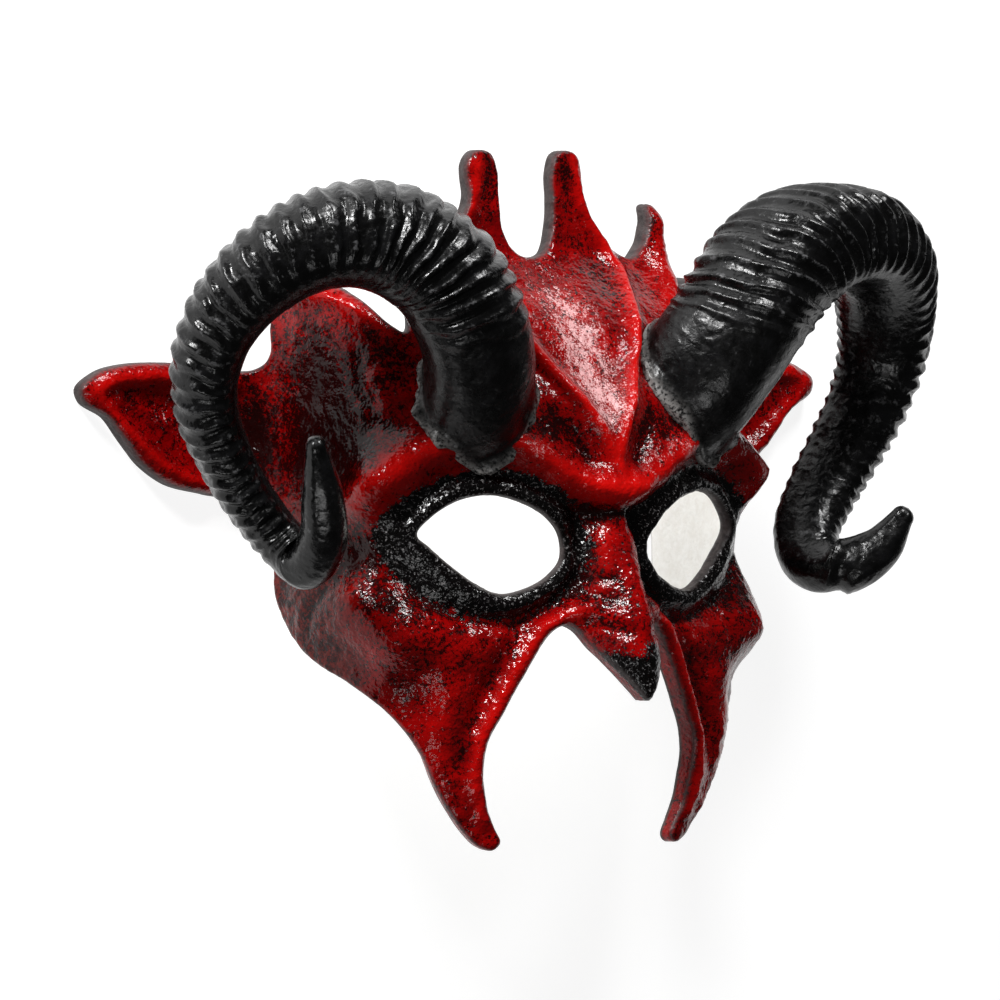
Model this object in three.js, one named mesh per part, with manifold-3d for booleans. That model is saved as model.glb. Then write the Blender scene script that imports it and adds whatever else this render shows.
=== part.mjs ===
// A moulded devil half-mask with two ram's horns, lying on its back with the face up.
// Millimetres. +X is the viewer's right when facing the mask, +Y runs up the face to the
// crown, +Z points out of the face. The underside of the rear rim lies at Z = 0.
import * as THREE from "three";
import { mergeVertices } from "three/addons/utils/BufferGeometryUtils.js";
import Module from "manifold-3d";

const wasm = await Module();
wasm.setup();

// Driving dimensions.
const MASK_HEIGHT = 189; // from the chin points to the tips of the crown
const WALL = 4.8; // thickness of the moulded face
const EYE_WALL = 3; // thickness at the eye holes
const EYE_WALL_REACH = 9; // how far from an eye hole the face is thinner
const BEAK_WALL = 2.2; // thickness at the point of the nose
const BEAK_WALL_REACH = 24; // how far from that point the face is thinner
const EDGE_ROUND = 1.2; // how far the front drops at every rim
const EDGE_REACH = 3.2; // how far from the rim that rounding starts
const SEAT_GAP = 0.5; // clearance between a horn's foot and the forehead
const REST_TRIM = 1.2; // how much is cut off flat where the rear rim lies
const HORN_SCALE_HEIGHT = 92; // from the bottom bend to the top bend of a horn's middle line
const HORN_WIDTH = 36; // across a horn at its foot
const RIB_COUNT = 38; // on each horn
const RIB_DEPTH = 1.9; // from furrow to crest near the foot
const RIB_SLANT = 0.28; // how far a rib leans towards the foot on its outer side
const HORN_SIDES = 12; // flats round a horn

// The face is a free form: its tables are in millimetres of a mask 189 mm high.
const DRAWN_HEIGHT = 189;
const FACE = MASK_HEIGHT / DRAWN_HEIGHT;
const DRAWN_HORN_HEIGHT = 92;
const HORN = HORN_SCALE_HEIGHT / DRAWN_HORN_HEIGHT;
const DRAWN_HORN_WIDTH = 36;
const REAR = -55; // depth of the rear rim behind the eyes

// Level section of the face from the middle of the nose to the tip of an ear: [x, z].
const SECTION = [
  [0, 14], [20, 11], [38, 5.5], [52, -1], [60, -8], [65, -18], [67.5, -33],
  [68.5, -47], [74, -55], [86, -54.5], [110, -54], [140, -54],
];

// How deep the section stands at each height, as a share of its full depth: [y, share].
const DEPTH_SHARE = [
  [-90, 0.9], [-72, 0.925], [-52, 0.96], [-30, 0.97], [-8, 0.98], [11, 1.0], [27, 1.0],
  [38, 0.95], [46, 0.87], [62, 0.73], [70, 0.61], [78, 0.5], [92, 0.46], [110, 0.45],
];

// Outline of the right half, in [distance along the section, height].
const OUTLINE = [
  [0, 77], [5, 78.5], [8.3, 84], [9.3, 93], [9.6, 101], [11.8, 105.6], [17.5, 106],
  [20.2, 102.5], [20.2, 93], [24, 86], [31, 79.5], [38, 76.8], [43.2, 80.6], [45.2, 86],
  [46.8, 91.4], [49.8, 91.4], [51.4, 86], [51.6, 77], [50, 67], [53, 57],
  [57, 59], [63, 65.6], [71, 69.8], [83, 71.3], [96, 70.6], [104, 67],
  [107, 59], [108.2, 50], [113.5, 46.3], [125, 47.2], [139, 48.6], [155, 48.3], [164, 46.2],
  [169.6, 42], [168.5, 38.2], [161, 33.8], [155, 27], [149, 20.8], [140, 15.6], [127, 12.8],
  [115, 10.5], [109, 4], [107.4, -6], [106.4, -14.5], [103, -21.5], [98, -26.5],
  [90, -31.9], [77, -37.7], [67.5, -43.3], [60.5, -49.5], [55, -56.5], [51.2, -64],
  [46.4, -71.6], [41.6, -77.6], [37, -81.8], [32.4, -83], [30.2, -80.8], [32.2, -76.8],
  [34.8, -71.5], [36.4, -65], [37, -59], [35.8, -52.6], [31.8, -45.3], [27.4, -37.8],
  [23, -30.6], [19.2, -25], [15.6, -22.4], [12, -23.6], [8.8, -29], [5, -35],
  [1.8, -40.2], [0, -42.6],
];

// Height of the point of the nose.
const BEAK_HEIGHT = OUTLINE[OUTLINE.length - 1][1];

// Eye hole of the right half, from the outer corner over the top.
const EYE = [
  [57.2, 2.6], [53, 7.6], [46, 11.6], [37.5, 13.1], [28.5, 11.2], [20.5, 7], [15.8, 1.2],
  [15.4, -4.4], [19.4, -9], [26, -12.3], [33.6, -13.5], [40.3, -10.7], [47.6, -5.7],
  [53.4, -1],
];

// Long raised or sunk forms. Each line runs through [distance along the section, height,
// rise, reach to either side]; `behind` is the share of the rise that the hollow side follows.
const RIDGES = [
  { name: "nose", behind: 0.75, line: [[0, 4, 4, 6], [0, -10, 11.4, 6.5], [0, -21, 16.7, 8.5],
    [0, -31, 18.6, 10.5], [0, -44, 18.4, 9]] },
  { name: "brow", behind: 0.5, line: [[0, 14.5, 3.5, 5.6], [9, 14.8, 4, 5.6], [17, 18, 4.5, 5.6],
    [24, 23.4, 4.5, 5.4], [31, 27.4, 4, 5], [39, 29, 3.6, 5], [48, 28, 4, 5.4],
    [57, 25, 5, 6], [66, 18, 7, 7], [72, 11, 4.5, 6]] },
  { name: "brow knot", behind: 0.6, line: [[-6, 14, 2.4, 6], [6, 14, 2.4, 6]] },
  { name: "socket upper", behind: 0.6, line: [[6, 6, -3.4, 3], [13, 11, -3, 3.4],
    [24, 17.5, -2.4, 3.6], [38, 20, -2.2, 3.4], [50, 17.5, -2.4, 3.4], [60, 10, -2, 3.4]] },
  { name: "cheekbone", behind: 0.75, line: [[38, -28, 2, 7], [50, -28.5, 4.5, 9],
    [61, -25, 9.6, 9.5], [70, -18, 6, 9]] },
  { name: "cheek welt", behind: 0.3, line: [[8, -20.5, 1.4, 3.4], [14.8, -19, 2.8, 3.4],
    [21, -22.4, 3, 3.4], [25.8, -29.4, 2.8, 3.4], [30.4, -37.2, 2.6, 3.4],
    [34.8, -45, 2.6, 3.4], [38.8, -53, 2.4, 3.4], [39.8, -64, 2, 3.4], [36.4, -74, 1.4, 3]] },
  { name: "cheek groove", behind: 0.3, line: [[28, -24, -0.8, 3], [33, -32, -1.6, 3.4],
    [37.6, -41, -1.8, 3.4], [42, -50, -1.4, 3.4], [45, -58, -0.6, 3]] },
  { name: "jaw swell", behind: 0.7, line: [[47, -40, 2.6, 6.5], [50, -50, 2.6, 6.5],
    [48, -60, 2, 6], [44, -70, 1, 5]] },
  { name: "forehead ridge", behind: 0.2, line: [[0, 22, 1.6, 3.6], [3.4, 30, 3, 3.6],
    [7.8, 38, 3.4, 3.6], [12.4, 45, 3.6, 3.6], [17, 52, 3.6, 3.6], [21.6, 60, 3.6, 3.6],
    [25.2, 68, 3.4, 3.6], [28.4, 74.5, 3, 3.6], [26.2, 81, 2.4, 3.6], [21.8, 88, 2, 3.4],
    [18, 96, 1.8, 3.2], [16.5, 103, 1, 3]] },
  { name: "forehead valley", behind: 0.7, line: [[0, 33, -0.6, 7], [0, 42, -1.6, 7],
    [0, 52, -2.2, 7.5], [0, 62, -2.6, 8], [0, 72, -2.4, 8]] },
  { name: "small spike", behind: 0.75, line: [[42, 62, 1.6, 5], [47, 72, 4, 5],
    [48.6, 86, 4.4, 5]] },
  { name: "ear hollow", behind: 0.4, line: [[112, 30, -0.8, 7], [126, 31, -2.2, 8],
    [142, 34, -2, 7], [154, 38, -0.8, 5]] },
];

// Broad swells: centre, reach along and up, rise, and the share that the hollow side follows.
const MOUNDS = [
  { name: "temple hollow", at: [86, 42], reach: [16, 17], rise: -3.2, behind: 0.85 },
  { name: "brow end", at: [67, 17], reach: [9, 8], rise: 3.2, behind: 0.8 },
  { name: "socket corner", at: [66, 1], reach: [8, 7], rise: 0.8, behind: 0.7 },
  { name: "inner socket", at: [10, 3], reach: [4.4, 8], rise: -3.4, behind: 0.6 },
  { name: "nostril", at: [11.5, -17], reach: [4.6, 4.4], rise: 3, behind: 0.7 },
  { name: "jaw side", at: [86, -18], reach: [15, 12], rise: 2.4, behind: 0.9 },
];

// Where a horn's middle line leaves the forehead; the horn grows or shrinks about this place.
const HORN_FOOT = [38, 42, 2];
// That line from inside the forehead, outwards, for the horn on the right.
const HORN_PATH = [
  [34.6, 32.6, -9.5], [37.6, 41, 0.5], [42.6, 52, 7.2], [49.6, 63, 10.4], [59, 73.4, 11],
  [74, 81, 9], [91, 81.2, 6.5], [104.6, 74.6, 1.5], [113, 63.5, -6], [116.6, 50.4, -11.5],
  [114.6, 37.6, -14.6], [108, 25, -16.2], [98.8, 12, -16.4],
];
// The last bends: the horn on the left rises steeply, the one on the right lies low.
const HORN_TIPS = {
  left: [[91.4, 2, -13.5], [89, -4, -6], [91, 2.5, 3.4], [95, 13.5, 8.6], [99.6, 27, 12.4]],
  right: [[91, 0.8, -13.6], [88, -6.8, -7], [91.6, -8.6, 2], [98.4, -4, 8.6], [104, 5, 12.4]],
};
// Half widths of the horn at shares of its length: [share, towards the loop, along its axis].
const HORN_GIRTH = [
  [0, 16.4, 18], [0.1, 16.2, 18], [0.27, 16.2, 18], [0.4, 13.8, 16], [0.52, 11, 13.6],
  [0.62, 9, 11.6], [0.72, 7.6, 10.4], [0.82, 7.2, 9.2], [0.9, 6.8, 8], [0.96, 5.2, 5.8],
  [1, 3, 3.2],
];
const RIB_SHARE = [0.14, 0.85]; // the ribbed stretch, as shares of the horn's length
const LOOP_AXIS = [0.616, 0, 0.788]; // direction that the horn's loop is open along

// Grid steps of the front and of the hollow side, and spacing along the rims.
const FRONT_STEP = 4.4;
const BACK_STEP = 9;
const RIM_STEP = 4.4;
const FLATNESS = 0.25; // how far a merged triangle may stand off the fine grid

// The flat blank that the face is cut from before it is laid over the section, in drawn
// millimetres, and the patch of it that a horn's foot is cut to.
const BLANK_WIDTH = 360;
const BLANK_HEIGHT = 210;
const BLANK_HALF_DEPTH = 20;
const BLANK_BULGE = 2;
const SEAT_PATCH = 84;
const SEAT_DEPTH = 18;

const lerp = (a, b, t) => a + (b - a) * t;

// Smooth value of a [key, value...] table between its rows.
function inTable(table, key, column = 1) {
  const last = table.length - 1;
  if (key <= table[0][0]) return table[0][column];
  if (key >= table[last][0]) return table[last][column];
  const i = table.findIndex((row) => row[0] > key);
  const slope = (j) => {
    const [before, after] = [table[Math.max(j - 1, 0)], table[Math.min(j + 1, last)]];
    return (after[column] - before[column]) / (after[0] - before[0]);
  };
  const gap = table[i][0] - table[i - 1][0];
  const t = (key - table[i - 1][0]) / gap;
  const bend = slope(i - 1) * t * (1 - t) ** 2 - slope(i) * t * t * (1 - t);
  return lerp(table[i - 1][column], table[i][column], t * t * (3 - 2 * t)) + gap * bend;
}

// The section as a table of points a fixed distance apart, mirrored about the nose.
function makeSection() {
  const right = SECTION.map(([x, z]) => new THREE.Vector3(x, 0, z));
  const left = right.slice(1).reverse().map((p) => new THREE.Vector3(-p.x, 0, p.z));
  const curve = new THREE.CatmullRomCurve3([...left, ...right], false, "centripetal");
  curve.arcLengthDivisions = 4000;
  const length = curve.getLength();
  const count = Math.round(length * 2);
  const points = curve.getSpacedPoints(count);
  return { points, step: length / count, half: length / 2 };
}
const section = makeSection();

function sectionAt(w) {
  const place = (w + section.half) / section.step;
  const i = Math.min(Math.max(Math.floor(place), 0), section.points.length - 2);
  const [a, b] = [section.points[i], section.points[i + 1]];
  const t = place - i;
  return {
    x: lerp(a.x, b.x, t),
    z: lerp(a.z, b.z, t),
    dx: (b.x - a.x) / section.step,
    dz: (b.z - a.z) / section.step,
  };
}

// Point at distance w along the section, height y, and h out of the surface.
function onFace(w, y, h) {
  const s = sectionAt(w);
  const share = inTable(DEPTH_SHARE, y);
  const normal = new THREE.Vector2(-s.dz * share, s.dx).normalize();
  return new THREE.Vector3(
    (s.x + normal.x * h) * FACE,
    y * FACE,
    (REAR + (s.z - REAR) * share + normal.y * h) * FACE,
  );
}

// Distance from a point to a line of [w, y, rise, reach], and the rise and reach there.
function alongLine(line, w, y) {
  let best = { distance: Infinity };
  for (let i = 0; i + 1 < line.length; i++) {
    const [ax, ay, riseA, reachA] = line[i];
    const [bx, by, riseB, reachB] = line[i + 1];
    const [dx, dy] = [bx - ax, by - ay];
    const t = Math.min(Math.max(((w - ax) * dx + (y - ay) * dy) / (dx * dx + dy * dy), 0), 1);
    const distance = Math.hypot(w - ax - t * dx, y - ay - t * dy);
    if (distance < best.distance) {
      best = { distance, rise: lerp(riseA, riseB, t), reach: lerp(reachA, reachB, t) };
    }
  }
  return best;
}

// Sum of the carved forms at a place: how far the front rises, and the hollow side behind it.
function relief(w, y) {
  const side = Math.abs(w);
  let front = 0;
  let back = 0;
  for (const ridge of RIDGES) {
    const near = alongLine(ridge.line, side, y);
    const rise = near.rise * Math.exp(-((near.distance / near.reach) ** 2));
    front += rise;
    back += rise * ridge.behind;
  }
  for (const mound of MOUNDS) {
    const across = (side - mound.at[0]) / mound.reach[0];
    const up = (y - mound.at[1]) / mound.reach[1];
    const rise = mound.rise * Math.exp(-(across * across + up * up));
    front += rise;
    back += rise * mound.behind;
  }
  return { front, back };
}

// A closed smooth loop through the points, resampled at about the given step.
function smoothLoop(points, step) {
  const curve = new THREE.CatmullRomCurve3(
    points.map(([w, y]) => new THREE.Vector3(w, y, 0)), true, "centripetal");
  curve.arcLengthDivisions = 2000;
  const count = Math.round(curve.getLength() / step);
  return curve.getSpacedPoints(count).slice(0, count).map((p) => [p.x, p.y]);
}

const mirrored = (points) => points.map(([w, y]) => [-w, y]).reverse();

function distanceToLoops(loops, w, y) {
  return Math.min(...loops.map((loop) => {
    return alongLine([...loop, loop[0]], w, y).distance;
  }));
}

function solidOf(geometry) {
  const bare = geometry.clone();
  for (const name of Object.keys(bare.attributes)) {
    if (name !== "position") bare.deleteAttribute(name);
  }
  const merged = mergeVertices(bare, 1e-4);
  return new wasm.Manifold(new wasm.Mesh({
    numProp: 3,
    vertProperties: merged.attributes.position.array,
    triVerts: new Uint32Array(merged.index.array),
  }));
}

function geometryOf(solid) {
  const mesh = solid.getMesh();
  const geometry = new THREE.BufferGeometry();
  const positions = new Float32Array(mesh.numVert * 3);
  for (let i = 0; i < mesh.numVert; i++) {
    positions.set(mesh.vertProperties.subarray(i * mesh.numProp, i * mesh.numProp + 3), i * 3);
  }
  geometry.setAttribute("position", new THREE.BufferAttribute(positions, 3));
  geometry.setIndex(new THREE.BufferAttribute(mesh.triVerts, 1));
  return geometry;
}

// A slab between two heights whose faces are a grid, bulged so that no two of its
// triangles lie in one plane.
function gridSlab(step, low, high) {
  const box = new THREE.BoxGeometry(BLANK_WIDTH, BLANK_HEIGHT, high - low,
    Math.round(BLANK_WIDTH / step), Math.round(BLANK_HEIGHT / step), 1);
  box.translate(0, 10, (low + high) / 2);
  const place = box.attributes.position;
  for (let i = 0; i < place.count; i++) {
    const [w, y, h] = [place.getX(i), place.getY(i), place.getZ(i)];
    const swell = BLANK_BULGE * (Math.cos(w / 37) + Math.cos(y / 29) + Math.sin((w + y) / 23));
    if (h !== 0) place.setZ(i, h + Math.sign(h) * swell);
  }
  return solidOf(box);
}

// The moulded face: a flat slab cut to the outline, then laid over the section.
function makeFace() {
  const right = OUTLINE.slice(1, -1);
  const outline = smoothLoop(
    [OUTLINE[0], ...right, OUTLINE[OUTLINE.length - 1], ...mirrored(right)], RIM_STEP);
  const eye = smoothLoop(EYE, RIM_STEP * 0.8);
  const loops = [outline, eye, mirrored(eye)];
  const shape = new THREE.Shape(outline.map(([w, y]) => new THREE.Vector2(w, y)));
  for (const hole of loops.slice(1)) {
    shape.holes.push(new THREE.Path(hole.map(([w, y]) => new THREE.Vector2(w, y))));
  }
  const depth = 4 * BLANK_HALF_DEPTH;
  const prism = new THREE.ExtrudeGeometry(shape, { depth, bevelEnabled: false });
  prism.translate(0, 0, -depth / 2);
  const slab = gridSlab(FRONT_STEP, 0, BLANK_HALF_DEPTH)
    .add(gridSlab(BACK_STEP, -BLANK_HALF_DEPTH, 0));
  const flat = geometryOf(solidOf(prism).intersect(slab));
  const place = flat.attributes.position;
  for (let i = 0; i < place.count; i++) {
    const [w, y] = [place.getX(i), place.getY(i)];
    const carved = relief(w, y);
    const inFrom = Math.min(distanceToLoops(loops, w, y) / EDGE_REACH, 1);
    const drop = EDGE_ROUND * (1 - inFrom) ** 2;
    const fromEye = Math.min(distanceToLoops(loops.slice(1), w, y) / EYE_WALL_REACH, 1);
    const fromBeak = Math.min(Math.hypot(w, y - BEAK_HEIGHT) / BEAK_WALL_REACH, 1);
    const wall = Math.min(
      lerp(EYE_WALL, WALL, fromEye), lerp(BEAK_WALL, WALL, fromBeak)) / FACE;
    const h = place.getZ(i) > 0 ? carved.front - drop : carved.back - wall;
    const p = onFace(w, y, h);
    place.setXYZ(i, p.x, p.y, p.z);
  }
  return solidOf(flat);
}

// Everything behind the forehead's front, grown by the seat's clearance, on the same grid.
function makeSeat(side) {
  const patch = new THREE.BoxGeometry(SEAT_PATCH, SEAT_PATCH, 3 * BLANK_HALF_DEPTH);
  patch.translate(side * (HORN_FOOT[0] + 2), HORN_FOOT[1], 0);
  const flat = geometryOf(solidOf(patch).intersect(
    gridSlab(FRONT_STEP, -BLANK_HALF_DEPTH, BLANK_HALF_DEPTH)));
  const place = flat.attributes.position;
  for (let i = 0; i < place.count; i++) {
    const [w, y] = [place.getX(i), place.getY(i)];
    const h = place.getZ(i) > 0 ? relief(w, y).front + SEAT_GAP / FACE : -SEAT_DEPTH;
    const p = onFace(w, y, h);
    place.setXYZ(i, p.x, p.y, p.z);
  }
  return solidOf(flat);
}

// Rise of a rib at a place between two furrows, 0 in the furrow and 1 on the crest.
const ribProfile = (t) => (t < 0.4 ? t / 0.4 : (1 - t) / 0.6);

// A horn swept along its middle line, with ribs on all but the side that faces the loop.
function makeHorn(name, side) {
  const drawn = [...HORN_PATH, ...HORN_TIPS[name]];
  const path = drawn.map(([x, y, z]) => new THREE.Vector3(
    side * (HORN_FOOT[0] * FACE + (x - HORN_FOOT[0]) * HORN),
    HORN_FOOT[1] * FACE + (y - HORN_FOOT[1]) * HORN,
    HORN_FOOT[2] * FACE + (z - HORN_FOOT[2]) * HORN,
  ));
  const curve = new THREE.CatmullRomCurve3(path, false, "centripetal");
  curve.arcLengthDivisions = 1000;
  const axis = new THREE.Vector3(side * LOOP_AXIS[0], LOOP_AXIS[1], LOOP_AXIS[2]).normalize();
  const girth = HORN_WIDTH / DRAWN_HORN_WIDTH;

  const shares = [0, 0.05, 0.09, 0.13];
  const ribStep = (RIB_SHARE[1] - RIB_SHARE[0]) / RIB_COUNT;
  for (let i = 0; i < RIB_COUNT; i++) {
    shares.push(RIB_SHARE[0] + i * ribStep, RIB_SHARE[0] + (i + 0.4) * ribStep);
  }
  shares.push(RIB_SHARE[1], 0.875, 0.91, 0.94, 0.965, 0.985, 0.996);

  const positions = [];
  const index = [];
  for (const share of shares) {
    const centre = curve.getPointAt(share);
    const along = curve.getTangentAt(share);
    const lateral = axis.clone().addScaledVector(along, -axis.dot(along)).normalize();
    const outward = new THREE.Vector3().crossVectors(lateral, along).multiplyScalar(side);
    const radial = inTable(HORN_GIRTH, share, 1) * girth;
    const wide = inTable(HORN_GIRTH, share, 2) * girth;
    const inRibs = (share - RIB_SHARE[0]) / (RIB_SHARE[1] - RIB_SHARE[0]);
    const ribbed = inRibs > 0 && inRibs < 1;
    const crest = ribbed ? ribProfile((inRibs * RIB_COUNT) % 1) : 0;
    const depth = RIB_DEPTH * (radial / HORN_GIRTH[0][1]) ** 0.5;
    for (let k = 0; k < HORN_SIDES; k++) {
      const angle = (2 * Math.PI * (k + 0.5)) / HORN_SIDES;
      const square = (value) => Math.sign(value) * Math.abs(value) ** 0.82;
      const out = square(Math.cos(angle)) * (Math.cos(angle) < 0 ? 0.86 : 1);
      const ribFade = THREE.MathUtils.smoothstep(out, -0.8, -0.1);
      const grow = ribbed ? depth * (crest - 0.5) * ribFade : 0;
      const lean = ribbed || share > RIB_SHARE[0] ? 1 : 0;
      const p = centre.clone()
        .addScaledVector(outward, out * (radial + grow))
        .addScaledVector(lateral, square(Math.sin(angle)) * (wide + grow))
        .addScaledVector(along, -lean * RIB_SLANT * out * radial * (1 - share));
      positions.push(p.x, p.y, p.z);
    }
  }
  const rings = shares.length;
  for (let r = 0; r + 1 < rings; r++) {
    for (let k = 0; k < HORN_SIDES; k++) {
      const [a, b] = [r * HORN_SIDES + k, r * HORN_SIDES + ((k + 1) % HORN_SIDES)];
      index.push(a, b, b + HORN_SIDES, a, b + HORN_SIDES, a + HORN_SIDES);
    }
  }
  const ends = [[0, curve.getPointAt(0)], [rings - 1, curve.getPointAt(1)]];
  for (const [ring, centre] of ends) {
    const middle = positions.length / 3;
    positions.push(centre.x, centre.y, centre.z);
    for (let k = 0; k < HORN_SIDES; k++) {
      const [a, b] = [ring * HORN_SIDES + k, ring * HORN_SIDES + ((k + 1) % HORN_SIDES)];
      index.push(...(ring === 0 ? [middle, b, a] : [middle, a, b]));
    }
  }
  const geometry = new THREE.BufferGeometry();
  geometry.setAttribute("position", new THREE.Float32BufferAttribute(positions, 3));
  if (side < 0) {
    for (let i = 0; i < index.length; i += 3) {
      [index[i], index[i + 1]] = [index[i + 1], index[i]];
    }
  }
  geometry.setIndex(index);
  let horn = solidOf(geometry);
  horn = horn.subtract(makeSeat(side));
  const bodies = horn.decompose().sort((a, b) => b.volume() - a.volume());
  return bodies[0].simplify(FLATNESS);
}

const red = new THREE.MeshStandardMaterial({ color: 0x9c1212, roughness: 0.38, metalness: 0 });
const black = new THREE.MeshStandardMaterial({ color: 0x141414, roughness: 0.35, metalness: 0 });

function meshOf(name, solid, material) {
  const mesh = new THREE.Mesh(geometryOf(solid), material);
  mesh.name = name;
  return mesh;
}

const face = makeFace();
const floorHeight = REAR * FACE - WALL + REST_TRIM;
const BEYOND = 4 * MASK_HEIGHT; // a block this long reaches past the mask on all sides
const floor = new THREE.BoxGeometry(BEYOND, BEYOND, MASK_HEIGHT)
  .translate(0, 0, floorHeight - MASK_HEIGHT / 2);
const rested = face.subtract(solidOf(floor)).simplify(FLATNESS);

const group = new THREE.Group();
group.add(
  meshOf("mask_face", rested, red),
  meshOf("horn_left", makeHorn("left", -1), black),
  meshOf("horn_right", makeHorn("right", 1), black),
);
const box = new THREE.Box3().setFromObject(group);
group.position.set(0, -(box.min.y + box.max.y) / 2, -floorHeight);

export default group;
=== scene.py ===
import math

import bpy
import numpy as np
from mathutils import Matrix, Vector, noise
from mathutils.geometry import delaunay_2d_cdt


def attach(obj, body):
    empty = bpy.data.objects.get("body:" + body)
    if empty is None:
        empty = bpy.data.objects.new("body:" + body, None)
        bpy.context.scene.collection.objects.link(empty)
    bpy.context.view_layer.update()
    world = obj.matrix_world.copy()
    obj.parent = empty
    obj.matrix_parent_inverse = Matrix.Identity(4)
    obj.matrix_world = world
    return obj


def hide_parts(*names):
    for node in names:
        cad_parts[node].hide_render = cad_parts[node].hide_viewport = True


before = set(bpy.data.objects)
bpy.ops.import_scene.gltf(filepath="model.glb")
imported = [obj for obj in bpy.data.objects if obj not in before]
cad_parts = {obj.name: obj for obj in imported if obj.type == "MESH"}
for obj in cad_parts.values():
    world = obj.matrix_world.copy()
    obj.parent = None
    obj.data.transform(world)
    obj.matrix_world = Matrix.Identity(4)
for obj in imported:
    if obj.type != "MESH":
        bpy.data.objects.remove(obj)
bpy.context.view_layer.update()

# A moulded devil half-mask with ram's horns, lying on its back with the face up.
# Blender works in metres. The free forms below are drawn in millimetres, in the face's own
# frame: x to the viewer's right, y up to the crown, z out of the face.
MM = 0.001
SHIFT = np.array([0.0, -11.755, 58.6])  # from the face's own frame to the part's frame
REAR = -55.0  # plane at the back that depths are shares of

# Wall of the face: in general, at the eye holes and at the point of the nose.
WALL = 4.8
EYE_WALL = 3.0
EYE_WALL_REACH = 9.0
BEAK_WALL = 2.2
BEAK_WALL_REACH = 24.0
FRONT_ROUND = 1.5
BACK_ROUND = 0.9

# Height of the skin's texture on the front, coarse and fine, on the hollow side and on the rim.
GRAIN = 0.4
FINE_GRAIN = 0.24
BACK_GRAIN = 0.25
RIM_GRAIN = 0.12

# Spacing of the mesh's points, and depths of the rings of points beside a rim.
FACE_STEP = 1.15
FACE_RINGS = (0.2, 0.5, 0.95, 1.55)
BACK_STEP = 2.4
BACK_RINGS = (0.3, 0.9, 1.9)
RIM_STEP = 1.0
EYE_RIM_STEP = 0.8
RIM_ROWS = 3
SHEET_HALF_WIDTH = 176
SHEET_LOW = -90
SHEET_HIGH = 112

# Ribs of a horn. Slant and twist set how far a rib leans along the horn.
RIB_COUNT = 38
RIB_RINGS = 16
RIB_DEPTH = 1.9
RIB_SLANT = 0.28
RIB_TWIST = 0.3
RIB_RISE = 0.62  # share of a rib's width before its crest
RIB_SHARE = (0.14, 0.85)  # stretch of the horn's length that has ribs

# Cross-section of a horn: a rounded square, flatter towards the loop.
HORN_SIDES = 64
HORN_SQUARENESS = 0.82
HORN_INSIDE = 0.86
LOOP_AXIS = np.array([0.616, 0.0, 0.788])  # direction that the loop is open along

# Ragged glue collar where a horn leaves the forehead.
GLUE_HEIGHT = 1.8
GLUE_MIDDLE = 1.4
GLUE_REACH = 1.7

# In the tables below w is the way along the level section from the face's middle. They draw
# the right half, and the left is its mirror image.
# Level section of the face at the brow: x, z.
SECTION = [
    (0, 14), (20, 11), (38, 5.5), (52, -1), (60, -8), (65, -18), (67.5, -33),
    (68.5, -47), (74, -55), (86, -54.5), (110, -54), (140, -54),
]
# Share of the section's depth at each height: y, share.
DEPTH_SHARE = [
    (-90, 0.9), (-72, 0.925), (-52, 0.96), (-30, 0.97), (-8, 0.98), (11, 1.0), (27, 1.0),
    (38, 0.95), (46, 0.87), (62, 0.73), (70, 0.61), (78, 0.5), (92, 0.46), (110, 0.45),
]
# Outline from the middle of the crown to the point of the nose: w, y.
OUTLINE = [
    (0, 77), (5, 78.5), (8.3, 84), (9.3, 93), (9.6, 101), (11.8, 105.6), (17.5, 106),
    (20.2, 102.5), (20.2, 93), (24, 86), (31, 79.5), (38, 76.8), (43.2, 80.6), (45.2, 86),
    (46.8, 91.4), (49.8, 91.4), (51.4, 86), (51.6, 77), (50, 67), (53, 57),
    (57, 59), (63, 65.6), (71, 69.8), (83, 71.3), (96, 70.6), (104, 67),
    (107, 59), (108.2, 50), (113.5, 46.3), (125, 47.2), (139, 48.6), (155, 48.3), (164, 46.2),
    (169.6, 42), (168.5, 38.2), (161, 33.8), (155, 27), (149, 20.8), (140, 15.6), (127, 12.8),
    (115, 10.5), (109, 4), (107.4, -6), (106.4, -14.5), (103, -21.5), (98, -26.5),
    (90, -31.9), (77, -37.7), (67.5, -43.3), (60.5, -49.5), (55, -56.5), (51.2, -64),
    (46.4, -71.6), (41.6, -77.6), (37, -81.8), (32.4, -83), (30.2, -80.8), (32.2, -76.8),
    (34.8, -71.5), (36.4, -65), (37, -59), (35.8, -52.6), (31.8, -45.3), (27.4, -37.8),
    (23, -30.6), (19.2, -25), (15.6, -22.4), (12, -23.6), (8.8, -29), (5, -35),
    (1.8, -40.2), (0, -42.6),
]
# Edge of an eye hole: w, y.
EYE = [
    (57.2, 2.6), (53, 7.6), (46, 11.6), (37.5, 13.1), (28.5, 11.2), (20.5, 7), (15.8, 1.2),
    (15.4, -4.4), (19.4, -9), (26, -12.3), (33.6, -13.5), (40.3, -10.7), (47.6, -5.7),
    (53.4, -1),
]
# Edge of the black paint round an eye: w, y.
EYE_PAINT = [
    (68.5, 1), (63, -7.5), (53.9, -14.4), (42.6, -19.4), (31, -20), (19, -16.4), (10, -8.4),
    (7.4, 0.7), (9.6, 7.4), (14, 12), (24, 17.4), (36.3, 20), (46.4, 18.8), (55.1, 15.6),
    (61.6, 11.4), (66.6, 7),
]

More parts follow.
